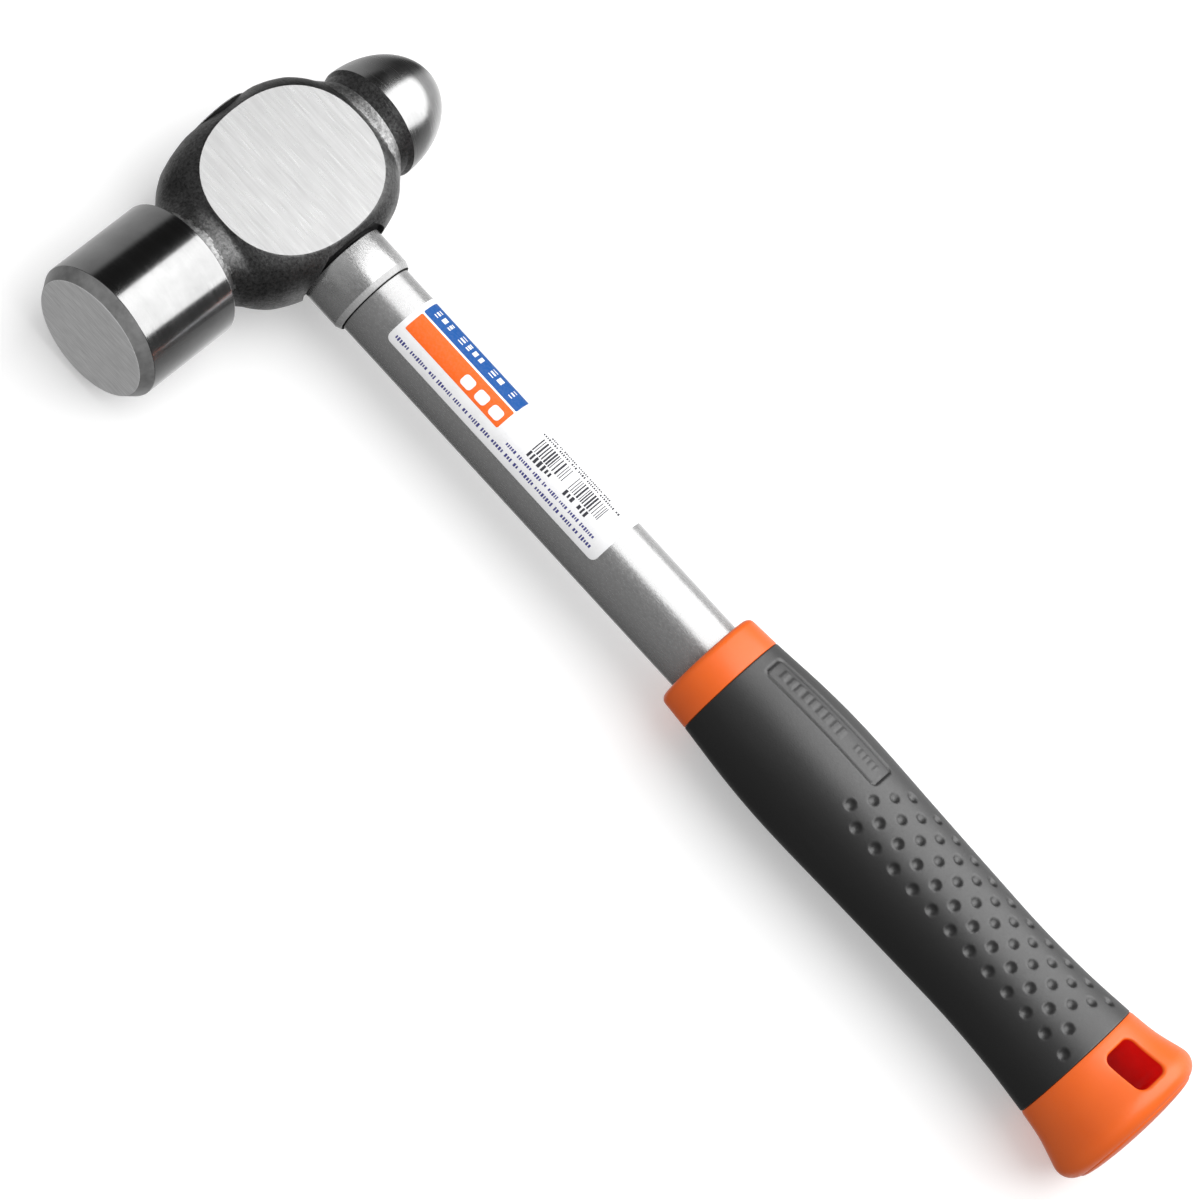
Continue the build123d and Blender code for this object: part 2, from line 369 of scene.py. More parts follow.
def surface(name, colours, roughness, reliefs=(), metallic=0.0, **sockets):
    """Procedural material.

    colours is a colour, or (grain, first, last), and its span if that isn't GRAIN_SPAN. roughness
    is a number, or (grain, low, high). reliefs are (grain, depth in mm), one on top of the other.
    A grain is noise from 0 to 1, given as (lumps per mm, detail) or (lumps per mm, detail, roughness).
    """
    material = bpy.data.materials.new(name)
    material.use_nodes = True
    tree = material.node_tree
    inputs = tree.nodes["Principled BSDF"].inputs
    coordinates = tree.nodes.new("ShaderNodeTexCoord").outputs["Object"]
    grains = {}

    def noise_of(grain):
        if grain not in grains:
            scale, detail, coarseness = (*grain, 0.55)[:3]
            numbers = scale if isinstance(scale, tuple) else grey(scale)
            lumps = {"Vector": coordinates, "Scale": [number / MM for number in numbers]}
            vector = new_node(tree, "ShaderNodeMapping", lumps).outputs["Vector"]
            texture = {"Vector": vector, "Scale": 1.0, "Detail": detail, "Roughness": coarseness}
            grains[grain] = new_node(tree, "ShaderNodeTexNoise", texture).outputs["Fac"]
        return grains[grain]

    if isinstance(colours[0], tuple):
        grain, first, last, *span = colours
        start, end = span or GRAIN_SPAN
        colour = colour_ramp(tree, noise_of(grain), [(start, first), (end, last)])
        tree.links.new(colour, inputs["Base Color"])
        colours = first
    inputs["Base Color"].default_value = (*colours, 1)
    if isinstance(roughness, tuple):
        grain, low, high = roughness
        tree.links.new(map_range(tree, noise_of(grain), *GRAIN_SPAN, low, high), inputs["Roughness"])
        roughness = (low + high) / 2
    inputs["Roughness"].default_value = roughness
    below = {}
    for grain, depth in reliefs:
        relief = {"Height": noise_of(grain), "Distance": depth * MM, "Strength": 1.0, **below}
        below = {"Normal": new_node(tree, "ShaderNodeBump", relief).outputs["Normal"]}
        tree.links.new(below["Normal"], inputs["Normal"])
    for socket, value in {"metallic": metallic, **sockets}.items():
        inputs[SOCKETS[socket]].default_value = value
    return material


def polished_steel(name, brightness, smoothest):
    """Poll and dome: bright turned steel with fine rings round the head's axis."""
    rings = ((0.05, 3.5, 0.05), 4)
    colours = ((0.12, 4), grey(brightness * 0.93), grey(brightness * 1.12))
    roughness = (rings, smoothest, smoothest + 0.1)
    return surface(name, colours, roughness, [(rings, 0.004), ((0.6, 3), 0.003)], 1.0)


def chamfer_steel():
    """Chamfer round the striking face: darker and duller, with turning marks."""
    blotches = (0.5, 5)
    turning = ((0.4, 4.0, 0.4), 3)
    colours = (blotches, grey(0.28), grey(0.4))
    return surface("chamfer_steel", colours, (blotches, 0.28, 0.42), [(turning, 0.01)], 0.6)


def face_steel():
    """Striking face: satin, ground in one direction along the shank."""
    streaks = ((0.25, 1.0, 3.2), 5)
    colours = (streaks, grey(0.72), grey(0.95))
    return surface("face_steel", colours, (streaks, 0.4, 0.55), [(streaks, 0.02)], 0.35)


def cheek_steel():
    """Ground cheeks: bright, brushed along the shank."""
    streaks = ((0.14, 4.0, 1.0), 5)
    bands = ((0.05, 1.5, 0.05), 5)
    colours = (bands, grey(0.49), grey(0.58))
    return surface("cheek_steel", colours, (streaks, 0.24, 0.42), [(streaks, 0.016)], 1.0)


def forged_steel(name, darkest, brightest):
    """Eye block, necks and ball rim: scale of the forging, with fine pits."""
    scale = (1.3, 6, 0.7)
    patches = (0.16, 4)
    colours = (scale, grey(darkest), grey(brightest), 0.3, 0.72)
    return surface(name, colours, (patches, 0.3, 0.46), [(patches, 0.12), (scale, 0.13)], 1.0)


def plated_steel(name, brightness, metallic):
    """Satin plating: a fine grain and soft draw marks, both longer along the shank."""
    grain = ((0.9, 2.4, 2.4), 5, 0.7)
    draws = ((0.04, 1.2, 1.2), 3)
    colours = (grain, grey(brightness * 0.86), grey(min(brightness * 1.1, 1)))
    return surface(name, colours, (grain, 0.18, 0.32), [(draws, 0.01), (grain, 0.02)], metallic)


def one_grain(name, colour, grain, low, high, relief, metallic=0.0):
    """One colour, with the same grain in its gloss and its relief."""
    return surface(name, colour, (grain, low, high), [(grain, relief)], metallic)


def orange_plastic():
    """Ring and butt: satin orange moulding with a light, fine grain."""
    colours = ((0.07, 3), (0.9, 0.127, 0.003), (0.94, 0.143, 0.005))
    return surface("orange_plastic", colours, ((1.5, 3), 0.32, 0.46), [((2.2, 3), 0.012)], specular=0.8)


def painted_hole_shade():
    """Walls of the hanging hole: the orange moulding painted deep red, as painted shade and light
    bounced inside the hole.
    """
    colours = ((0.2, 3), (0.86, 0.012, 0.01), (0.95, 0.017, 0.014))
    return surface("painted_hole_shade", colours, 0.4, [((1.5, 3), 0.02)])


def black_rubber():
    """Soft cover: black rubber with a fine moulded grain and faint wear."""
    grain = (2.6, 4, 0.65)
    wear = ((0.03, 0.1, 0.1), 4)
    colours = (wear, grey(0.004), grey(0.008))
    return surface("black_rubber", colours, (grain, 0.42, 0.56), [(grain, 0.03)], ior=1.72, specular=1.0)


def white_film():
    """Label film: glossy white, faintly uneven where it follows the tube."""
    unevenness = (0.25, 3)
    colours = (unevenness, (0.83, 0.83, 0.84), (0.88, 0.88, 0.89))
    return surface("white_film", colours, (unevenness, 0.24, 0.36), [(unevenness, 0.01)])


def ink(name, colour):
    """Printed ink: the colour with a little speckle where it thins."""
    speckle = (1.6, 4)
    thin = tuple(channel + (1 - channel) * 0.02 for channel in colour)
    return surface(name, (speckle, thin, colour, 0.35, 0.6), (speckle, 0.4, 0.5), specular=0.25)


def dowel_wood():
    """Hardwood dowel inside the tube."""
    fibres = ((0.03, 0.9, 0.9), 5)
    colours = (fibres, (0.38, 0.22, 0.1), (0.62, 0.43, 0.25))
    return surface("dowel_wood", colours, 0.6, [(fibres, 0.05)])


def floor_paint():
    """Plain pale floor with a barely visible mottle, glowing a little to keep the shadow light."""
    colours = ((0.004, 2), grey(0.745), grey(0.755))
    return surface("floor_paint", colours, 0.85, emission=(1, 1, 1, 1), glow=FLOOR_GLOW)


# ---------------------------------------------------------------- head

FIRST_NECK_RING = CHEEK_ALONG_HEAD + 0.2
CHEEK_COLUMNS = 28
SIDE_COLUMNS = 96
EYE_RINGS = 46
POLL_NECK_RINGS = 14
BALL_NECK_RINGS = 12
DOME_RINGS = 26
POLL, CHAMFER, FACE, CHEEK, FORGED, BORE, PAINTED_SHADE, NECK, DOME = range(9)      # the head's materials
eye_width = through(EYE_WIDTHS)
eye_squareness = through(EYE_SQUARENESS)


def cheek_half_width(distance):
    """Half width of the ground cheek at a distance from the middle, along the head."""
    ratio = min(distance / CHEEK_ALONG_HEAD, 1.0)
    return CHEEK_ALONG_SHANK * (1 - ratio ** CHEEK_POWER) ** (1 / CHEEK_POWER)


def eye_height(distance, neck_place, neck_radius):
    """Half height of the forging before grinding, so that the cheek comes out at its width."""
    if distance < CHEEK_ALONG_HEAD:
        width, power = eye_width(distance), eye_squareness(distance)
        ground = cheek_half_width(distance) / width
        return CHEEK_HALF / (1 - ground ** power) ** (1 / power)
    waist_place, waist_height = NECK_WAIST
    if distance < waist_place:
        t = (distance - CHEEK_ALONG_HEAD) / (waist_place - CHEEK_ALONG_HEAD)
        return waist_height + (CHEEK_HALF - waist_height) * (1 - t) ** 2
    t = min((distance - waist_place) / (neck_place - waist_place), 1.0)
    return waist_height + (neck_radius - waist_height) * t * t * (3 - 2 * t)


def section(y, width, height, power, lumps=0.0):
    """One ring of the head: flat cheeks where the section is higher than they are."""
    if height > CHEEK_HALF and abs(y) < CHEEK_ALONG_HEAD:
        top = math.asin((CHEEK_HALF / height) ** (power / 2))
        flat = cheek_half_width(abs(y)) - CHEEK_EDGE
        level = CHEEK_HALF
    else:
        top = math.pi / 2
        flat = 0.0
        level = height
    flat = max(flat, 0.0)
    over = [(x, y, level) for x in between(flat, -flat, CHEEK_COLUMNS)]
    under = [(x, y, -level) for x in between(-flat, flat, CHEEK_COLUMNS)]
    side = []
    for step in range(1, SIDE_COLUMNS):
        angle = top - 2 * top * step / SIDE_COLUMNS
        across = math.cos(angle) ** (2 / power)
        upward = math.copysign(abs(math.sin(angle)) ** (2 / power), math.sin(angle))
        side.append((width * across, height * upward))
    left = [uneven((-x, y, z), lumps, level) for x, z in side]
    right = [uneven((x, y, z), lumps, level) for x, z in reversed(side)]
    return over + left + under + right


def uneven(point, lumps, level):
    """Moves a point of the forging in or out by smooth noise, and keeps it under the cheeks."""
    if not lumps:
        return point
    place_in_noise = Vector(point)
    swell = noise.noise(place_in_noise * 0.16) + 0.5 * noise.noise(place_in_noise * 0.45)
    outward = Vector((point[0], 0, point[2])).normalized()
    moved = place_in_noise + outward * (swell * lumps)
    moved.x = max(moved.x, TOP_END)
    if level == CHEEK_HALF:
        ground = CHEEK_HALF - CHEEK_EDGE / 2
        moved.z = min(max(moved.z, -ground), ground)
    return tuple(moved)


def head_rings():
    """Rings from the middle of the striking face to the tip of the ball."""
    poll = rounded([
        (-FACE_DISTANCE, 0, 0),
        (-FACE_DISTANCE, FACE_RADIUS / 2, 0),
        (-FACE_DISTANCE, FACE_RADIUS, FACE_EDGE_ROUND),
        (-FACE_DISTANCE + FACE_CHAMFER_LENGTH, POLL_RADIUS, FACE_EDGE_ROUND),
        (-(FACE_DISTANCE + POLL_BACK) / 2, POLL_RADIUS, 0),
        (-POLL_BACK, POLL_RADIUS, POLL_BACK_ROUND),
        (-POLL_NECK[0] - POLL_FOOT[0], POLL_NECK[1] + POLL_FOOT[1], NECK_FILLET),
        (-POLL_NECK[0], POLL_NECK[1], 0),
    ])
    rings = [section(y, radius, radius, 2.0) for y, radius in poll[:-1]]
    rings += [eye_ring(-at) for at in between(POLL_NECK[0], FIRST_NECK_RING, POLL_NECK_RINGS)]
    for step in range(EYE_RINGS + 1):
        turn = math.pi / 2 * (2 * step / EYE_RINGS - 1)
        rings.append(eye_ring(CHEEK_ALONG_HEAD * math.sin(turn)))
    rings += [eye_ring(at) for at in between(FIRST_NECK_RING, BALL_NECK[0], BALL_NECK_RINGS)]
    rim = rounded([
        (BALL_NECK[0], BALL_NECK[1], 0),
        (BALL_RIM_END - RIM_BEVEL[0], BALL_RADIUS - RIM_BEVEL[1], NECK_FILLET),
        (BALL_RIM_END - RIM_LIP[0], BALL_RADIUS - RIM_LIP[1], 0),
        (BALL_RIM_END, BALL_RADIUS, 0),
    ])
    rings += [section(y, radius, radius, 2.0) for y, radius in rim[1:]]
    for angle in between(0, math.pi / 2, DOME_RINGS)[1:]:
        y = BALL_RIM_END + (BALL_TIP - BALL_RIM_END) * math.sin(angle)
        radius = BALL_RADIUS * math.cos(angle)
        rings.append(section(y, radius, radius, 2.0))
    return rings


def eye_ring(y):
    """Ring of the eye block or of a neck."""
    distance = abs(y)
    neck_place, neck_radius = POLL_NECK if y < 0 else BALL_NECK
    width = max(eye_width(distance), neck_radius)
    height = eye_height(distance, neck_place, neck_radius)
    fade = min(max((neck_place - distance) / 3, 0), 1)
    return section(y, width, height, eye_squareness(distance), FORGING_LUMPS * fade)


def bore_cutter():
    """What is cut from the forging: the eye's bore, flared at the top, and the collar's seat."""
    flare_start = TOP_END + EYE_FLARE_LENGTH
    outline = [
        (TOP_END + EYE_MOUTH[0][0], 0),
        *[(TOP_END + along, EYE_FLARE_RADIUS + more) for along, more in EYE_MOUTH],
        (flare_start, EYE_BORE_RADIUS),
        (SEAT_X, EYE_BORE_RADIUS),
        (SEAT_X, COLLAR_RADIUS - SEAT_RELIEF),
        (SEAT_X - SEAT_RELIEF, COLLAR_RADIUS - SEAT_RELIEF),
        (SEAT_X - SEAT_RELIEF, SEAT_RADIUS),
        (SEAT_X + SEAT_REACH, SEAT_RADIUS),
        (SEAT_X + SEAT_REACH, 0),
    ]
    return turned("bore_cutter", outline, [], 128)


def hammer_head(materials):
    """Forging with its eye bored; its face and cheeks are shaded flat and the rest smooth."""
    sheet = bmesh.new()
    skin(sheet, head_rings())
    forging = finish_mesh("forged_head", sheet, materials)
    cutter = bore_cutter()
    cut = forging.modifiers.new("bore", "BOOLEAN")
    cut.operation = "DIFFERENCE"
    cut.solver = "EXACT"
    cut.object = cutter
    bpy.context.view_layer.update()
    depsgraph = bpy.context.evaluated_depsgraph_get()
    machined = bpy.data.meshes.new_from_object(forging.evaluated_get(depsgraph))
    forging.modifiers.clear()
    forging.data = machined
    bpy.data.objects.remove(cutter)
    machined.set_sharp_from_angle(angle=math.radians(28))
    paint(forging, head_finish)
    for face in machined.polygons:
        face.use_smooth = face.material_index not in (FACE, CHEEK)
    return joined(forging, "hammer_head")


def head_finish(at, normal):
    """Which of the head's materials is on a place with this normal."""
    from_shank = math.hypot(at.y, at.z)
    if at.y < -FACE_DISTANCE + 0.12:
        return FACE
    if at.y < -FACE_DISTANCE + FACE_CHAMFER_LENGTH - 0.1:
        return CHAMFER
    if at.y < -POLL_BACK - 0.1:
        return POLL
    if at.y > BALL_RIM_END:
        return DOME
    if abs(at.z) > CHEEK_HALF - 0.02 and abs(normal.z) > 0.999:
        return CHEEK
    # the collar's seat and the groove round it get painted shade, near-black
    if from_shank < SEAT_RADIUS + 0.05 and at.x > SEAT_X - SEAT_RELIEF - 0.05:
        return PAINTED_SHADE
    if from_shank < EYE_FLARE_RADIUS + 0.4 and abs(at.x) < SEAT_X and at.x > TOP_END + 0.3:
        return BORE
    wander = NECK_EDGE_WANDER * noise.noise(at * 0.5)
    if -POLL_BACK + 0.6 < at.y < -POLL_NECK_BARE + wander:
        return NECK
    if NECK_WAIST[0] - 0.3 < at.y + wander / 3 < BALL_NECK[0] + 0.6:
        return NECK
    return FORGED


# ---------------------------------------------------------------- shank, collar and wedge


def shank_tube(material, painted_shade):
    """Tube flared in the eye's top, swaged through the eye, and full size outside it."""
    bore = TUBE_RADIUS - TUBE_WALL
    flare_start = TOP_END + EYE_FLARE_LENGTH
    outline = rounded([
        (TUBE_LOW.x, EYE_FLARE_RADIUS, 0.25),
        (flare_start, EYE_BORE_RADIUS, 0),
        (SEAT_X, EYE_BORE_RADIUS, 0),
        (SEAT_X + SWAGE_STEP, TUBE_RADIUS, 0),
        (COLLAR_HIGH.x, TUBE_RADIUS, 0),
        (COLLAR_HIGH.x + COLLAR_SHADOW, TUBE_RADIUS, 0),
        (TUBE_HIGH.x, TUBE_RADIUS, 0.3),
        (TUBE_HIGH.x, bore, 0.3),
        (SEAT_X + SWAGE_STEP, bore, 0),
        (SEAT_X, EYE_BORE_RADIUS - TUBE_WALL, 0),
        (flare_start, EYE_BORE_RADIUS - TUBE_WALL, 0),
        (TUBE_LOW.x, EYE_FLARE_RADIUS - TUBE_WALL, 0.25),
    ], 4)
    tube = turned("plated_shank", outline, [material, painted_shade], 192)
    # inside the eye, under the collar and in a thin line past it, the tube gets painted shade
    paint(tube, lambda at, normal: int(TOP_END + 1 < at.x < COLLAR_HIGH.x + COLLAR_SHADOW))
    return joined(tube, "shank_tube")


def shank_collar(material, painted_shade, edge):
    """Sleeve pressed against the head's seat."""
    chamfer_start = COLLAR_HIGH.x - COLLAR_CHAMFER_LENGTH
    outline = rounded([
        (COLLAR_LOW.x, EYE_BORE_RADIUS, 0),
        (COLLAR_LOW.x, COLLAR_RADIUS, 0.3),
        (chamfer_start, COLLAR_RADIUS, 0.3),
        (COLLAR_HIGH.x, COLLAR_RADIUS - COLLAR_CHAMFER_DEPTH, 0.25),
        (COLLAR_HIGH.x, TUBE_RADIUS, 0),
        (COLLAR_LOW.x + SWAGE_STEP, TUBE_RADIUS, 0),
    ], 4)
    collar = turned("plated_collar", outline, [material, painted_shade, edge], 192)

    def finish(at, normal):
        """Painted shade on the ends, then the chamfer's edge, then the plating."""
        if normal.x < -0.4 or normal.x > 0.97:
            return 1
        return 2 if at.x > chamfer_start - 0.1 else 0

    paint(collar, finish)
    return joined(collar, "shank_collar")


def eye_wedge(material):
    """Tapered plug in the tube's end, slightly dished where it was driven in."""
    wide = EYE_FLARE_RADIUS - TUBE_WALL
    narrow = EYE_BORE_RADIUS - TUBE_WALL
    outline = [
        (WEDGE_LOW.x + 0.5, 0),
        (WEDGE_LOW.x + 0.35, wide * 0.45),
        (WEDGE_LOW.x + 0.05, wide * 0.72),
        *rounded([
            (WEDGE_LOW.x, wide * 0.8, 0),
            (WEDGE_LOW.x, wide, 0.35),
            (TOP_END + EYE_FLARE_LENGTH, narrow, 0),
        ]),
        (WEDGE_HIGH.x, narrow),
        (WEDGE_HIGH.x, 0),
    ]
    return joined(turned("driven_wedge", outline, [material], 96), "eye_wedge")


# ---------------------------------------------------------------- grip

GRIP_SEGMENTS = 144
COVER_RINGS = 330
DIMPLED_ANGLE = 52              # half span of the fine columns on each dimpled side, degrees
FINE_COLUMNS = 104
COARSE_COLUMNS = 22
HOLE_BLOCK_COLUMNS = 10         # columns of the butt on each side of +Z taken by a hole's patch
HOLE_BLOCK_STEPS = 20
FLARE_END = BUTT_MAX_X - BUTT_ROUND * math.sin(math.radians(BUTT_FLARE_SLOPE))
FLARE_END_RADIUS = BUTT_RADIUS - BUTT_ROUND * (1 - math.cos(math.radians(BUTT_FLARE_SLOPE)))
flare_curve = through([(COVER_HIGH.x, COVER_END_RADIUS), BUTT_MID, (FLARE_END, FLARE_END_RADIUS)])
cover_radius = through([(COVER_LOW.x, RING_END_RADIUS), *COVER_PROFILE,
                        (COVER_HIGH.x, COVER_END_RADIUS)])


def flare_radius(x):
    """Outer radius of the butt between the cover and its widest ring."""
    if x < FLARE_END:
        return flare_curve(x)
    return BUTT_RADIUS - BUTT_ROUND + math.sqrt(BUTT_ROUND ** 2 - (x - BUTT_MAX_X) ** 2)


def rim_outline():
    """Rounded rim and gently crowned end of the butt."""
    points = []
    for turn in between(0, math.radians(BUTT_RIM_TURN), 14)[1:]:
        x = BUTT_MAX_X + BUTT_ROUND * math.sin(turn)
        points.append((x, BUTT_RADIUS - BUTT_ROUND * (1 - math.cos(turn))))
    start_x, start_radius = points[-1]
    for turn in between(0, math.pi / 2, 16)[1:]:
        x = start_x + (CORE_HIGH.x - start_x) * math.sin(turn)
        points.append((x, start_radius * math.cos(turn)))
    return points


def core_outline():
    """Closed (x, radius) outline of the orange moulding, and the rows where its flare starts."""
    front = rounded([
        (CORE_LOW.x, TUBE_RADIUS, 0),
        (CORE_LOW.x, RING_FRONT_RADIUS, RING_ROUND),
        (COVER_LOW.x, RING_END_RADIUS, SEAM_ROUND),
        (COVER_LOW.x, SLEEVE_RADIUS, 0),
        (COVER_HIGH.x, SLEEVE_RADIUS, 0),
        (COVER_HIGH.x, COVER_END_RADIUS - SEAM_ROUND, 0),
    ], 6)
    steps = between(COVER_HIGH.x, BUTT_MAX_X, HOLE_BLOCK_STEPS)
    flare = [(x, flare_radius(x)) for x in steps]
    flare[0] = (COVER_HIGH.x + 0.1, COVER_END_RADIUS - 0.12)
    inside = [(PLUG_HIGH.x, 0), (PLUG_HIGH.x, TUBE_RADIUS)]
    return front, flare, [*rim_outline(), *inside]


def outside_box(a, b, half_a, half_b, corner):
    """Distance from the outline of a rounded rectangle about the origin, negative inside it."""
    beyond_a = abs(a) - (half_a - corner)
    beyond_b = abs(b) - (half_b - corner)
    outer = math.hypot(max(beyond_a, 0), max(beyond_b, 0))
    return outer + min(max(beyond_a, beyond_b), 0) - corner


def outside_hole(x, y):
    """Distance in millimetres from the hanging hole's outline, negative inside it."""
    from_x, from_y = x - HOLE_CENTRE[0], y - HOLE_CENTRE[1]
    return outside_box(from_x, from_y, HOLE_LENGTH / 2, HOLE_WIDTH / 2, HOLE_CORNER)


def hole_offset(toward, distance):
    """Point at a distance outside the hole's outline, on the way from its centre to a point."""
    low, high = 0.0, 1.0
    for _ in range(24):
        middle = (low + high) / 2
        x = HOLE_CENTRE[0] + (toward[0] - HOLE_CENTRE[0]) * middle
        y = HOLE_CENTRE[1] + (toward[1] - HOLE_CENTRE[1]) * middle
        if outside_hole(x, y) < distance:
            low = middle
        else:
            high = middle
    return x, y


def hole_patch(sheet, border, side):
    """Surface from a block's border to the hole's rounded edge; gives its innermost ring."""
    blend_steps = 4
    edge_steps = 6

    def on_butt(points, drop=0.0):
        heights = [math.sqrt(flare_radius(x) ** 2 - y * y) - drop for x, y in points]
        return [Vector((x, y, side * height)) for (x, y), height in zip(points, heights)]

    rings = [[Vector(point) for point in border]]
    rim = [hole_offset(point, HOLE_EDGE_ROUND) for point in border]
    for step in range(1, blend_steps + 1):
        rings.append(on_butt([
            [start[axis] + (end[axis] - start[axis]) * step / blend_steps for axis in (0, 1)]
            for start, end in zip(border, rim)]))
    for turn in between(0, math.pi / 2, edge_steps)[1:]:
        inset = HOLE_EDGE_ROUND * (1 - math.sin(turn))
        drop = HOLE_EDGE_ROUND * (1 - math.cos(turn))
        rings.append(on_butt([hole_offset(point, inset) for point in border], drop))
    skin(sheet, rings)
    return rings[-1]


def grip_core(orange, hole_wall_shade):
    """Orange moulding: ring, sleeve under the cover, and butt with its hanging hole."""
    front, flare, rest = core_outline()
    outline = front + flare + rest
    first_row = len(front) + 1
    last_row = len(front) + len(flare) - 1
    half = HOLE_BLOCK_COLUMNS
    opposite = GRIP_SEGMENTS // 2

    def keep(row, column):
        if not first_row <= row < last_row:
            return True
        upper = column < half or column >= GRIP_SEGMENTS - half
        lower = opposite - half <= column < opposite + half
        return not (upper or lower)

    sheet = bmesh.new()
    rings = [turned_ring(x, radius, GRIP_SEGMENTS) for x, radius in outline]
    skin(sheet, rings, wrap=True, keep=keep)
    inner_rings = []
    for side in (1, -1):
        columns = range(-half, half + 1)
        if side < 0:
            columns = [opposite - column for column in columns]
        columns = [column % GRIP_SEGMENTS for column in columns]
        rows = range(first_row, last_row + 1)
        border = [rings[first_row][column] for column in columns]
        border += [rings[row][columns[-1]] for row in rows[1:]]
        border += [rings[last_row][column] for column in columns[-2::-1]]
        border += [rings[row][columns[0]] for row in rows[-2:0:-1]]
        inner_rings.append(hole_patch(sheet, border, side))
    upper, lower = inner_rings
    wall = [[a.lerp(b, step / 8) for a, b in zip(upper, lower)] for step in range(9)]
    skin(sheet, wall)
    piece = finish_mesh("orange_moulding", sheet, [orange, hole_wall_shade], 40)
    # the hole's walls get the painted shade, deep red
    paint(piece, lambda at, normal: int(
        outside_hole(at.x, at.y) < 0.1 and abs(normal.z) < 0.5 and at.x > COVER_HIGH.x
        and math.hypot(at.y, at.z) < flare_radius(at.x) - 0.7))
    return joined(piece, "grip_core")


def dimple_centres():
    """(x, angle) of the dimples of the +Z side."""
    centres = []
    for row in range(DIMPLE_ROWS):
        angle = DIMPLE_FIRST_ANGLE - DIMPLE_ROW_ANGLE * row
        start = DIMPLE_FIRST_X + DIMPLE_ROW_SHIFT * row
        centres += [(start + DIMPLE_PITCH * step, angle) for step in range(DIMPLE_COUNTS[row])]
        if row < DIMPLE_ROWS - 1:
            centres.append((start + DIMPLE_LEAD_SHIFT[0], angle + DIMPLE_LEAD_SHIFT[1]))
    return centres


def pressed_in(x, angle, radius, centres):
    """Depth that the mould's relief takes off the cover at a place of the +Z side."""
    depth = 0.0
    for centre_x, centre_angle in centres:
        if abs(x - centre_x) < DIMPLE_RADIUS:
            along = math.radians(angle - centre_angle) * radius
            away = math.hypot(x - centre_x, along) / DIMPLE_RADIUS
            if away < 1:
                depth = max(depth, DIMPLE_DEPTH * (1 - away * away))
    return depth + panel_depth(x, angle, radius)


def panel_depth(x, angle, radius):
    """Depth of the plain panel near the ring: a shallow field inside a narrow groove."""
    off_middle = abs(math.radians(angle - sum(PANEL_ANGLES) / 2) * radius)
    half_span = math.radians(PANEL_ANGLES[1] - PANEL_ANGLES[0]) / 2 * radius
    from_middle = x - (PANEL_START + PANEL_END) / 2
    half_length = (PANEL_END - PANEL_START) / 2
    outside = outside_box(from_middle, off_middle, half_length, half_span, PANEL_CORNER)
    if outside > 0:
        return 0.0
    groove = max(1 - abs(outside + PANEL_GROOVE) / PANEL_GROOVE, 0)
    field = min(-outside / (2 * PANEL_GROOVE), 1)
    return groove * PANEL_GROOVE_DEPTH + field * PANEL_DEPTH - raised_bars(x, off_middle)


def raised_bars(x, off_middle):
    """Height of the panel's plain raised bars: a row of tall ones, then a row of short ones."""
    for start, end, pitch, half in PANEL_BARS:
        if start < x < end and off_middle < half and (x - start) % pitch < pitch * 0.6:
            return PANEL_BAR_HEIGHT
    return 0.0


def grip_angles():
    """Angles round the cover: close together over the two dimpled sides, wider between them."""
    fine = between(-DIMPLED_ANGLE, DIMPLED_ANGLE, FINE_COLUMNS)
    coarse = between(DIMPLED_ANGLE, 180 - DIMPLED_ANGLE, COARSE_COLUMNS)[1:-1]
    upper = fine + coarse
    return upper + [angle + 180 for angle in upper]


def grip_cover(material):
    """Black cover: a fine skin with dimples and a plain panel pressed into it."""
    centres = dimple_centres()
    angles = grip_angles()
    inner = SLEEVE_RADIUS
    start, end = COVER_LOW.x, COVER_HIGH.x
    rings = []

    def ring(x, radius, relief):
        points = []
        for angle in angles:
            folded = (angle + 90) % 180 - 90
            mirrored = 90 <= angle < 270
            depth = 0.0
            if relief and abs(folded) < 60:
                depth = pressed_in(x, -folded if mirrored else folded, radius, centres)
            points.append(about_shank(x, radius - depth, angle))
        return points

    for x, radius in rounded([(start, inner, 0), (start, RING_END_RADIUS, SEAM_ROUND),
                              (start + 2, cover_radius(start + 2), 0)])[:-1]:
        rings.append(ring(x, radius, False))
    for x in between(start + SEAM_ROUND * 1.2, end - SEAM_ROUND * 1.2, COVER_RINGS):
        rings.append(ring(x, cover_radius(x), True))
    for x, radius in rounded([(end - 2, cover_radius(end - 2), 0),
                              (end, COVER_END_RADIUS, SEAM_ROUND), (end, inner, 0)])[1:]:
        rings.append(ring(x, radius, False))
    sheet = bmesh.new()
    skin(sheet, rings, wrap=True)
    piece = finish_mesh("dimpled_cover", sheet, [material], 50)
    return joined(piece, "grip_cover")


# ---------------------------------------------------------------- label


def wrapped(sheet, block, corner, height, material_number, rows=12, columns=24):
    """Rounded block laid on the tube: block is (x start, x end, first angle, last angle)."""
    x_start, x_end, angle_start, angle_end = block
    radius = TUBE_RADIUS + height
    to_angle = math.degrees(1 / TUBE_RADIUS)
    stops = [x_start + corner * (1 - math.cos(turn)) for turn in between(0, math.pi / 2, 5)]
    stops += between(x_start + corner, x_end - corner, rows)[1:-1]
    stops += [x_start + x_end - x for x in reversed(stops[:6])]
    rings = []
    for x in stops:
        near_end = max(corner - min(x - x_start, x_end - x), 0)
        inset = (corner - math.sqrt(max(corner ** 2 - near_end ** 2, 0))) * to_angle
        turns = between(angle_start + inset, angle_end - inset, columns)
        line = [about_shank(x, TUBE_RADIUS - FILM_SINK, turns[0])]
        line += [about_shank(x, radius, turn) for turn in turns]
        line.append(about_shank(x, TUBE_RADIUS - FILM_SINK, turns[-1]))
        rings.append(line)
    before = len(sheet.faces)
    skin(sheet, rings, closed=False)
    sheet.faces.ensure_lookup_table()
    for face in sheet.faces[before:]:
        face.material_index = material_number


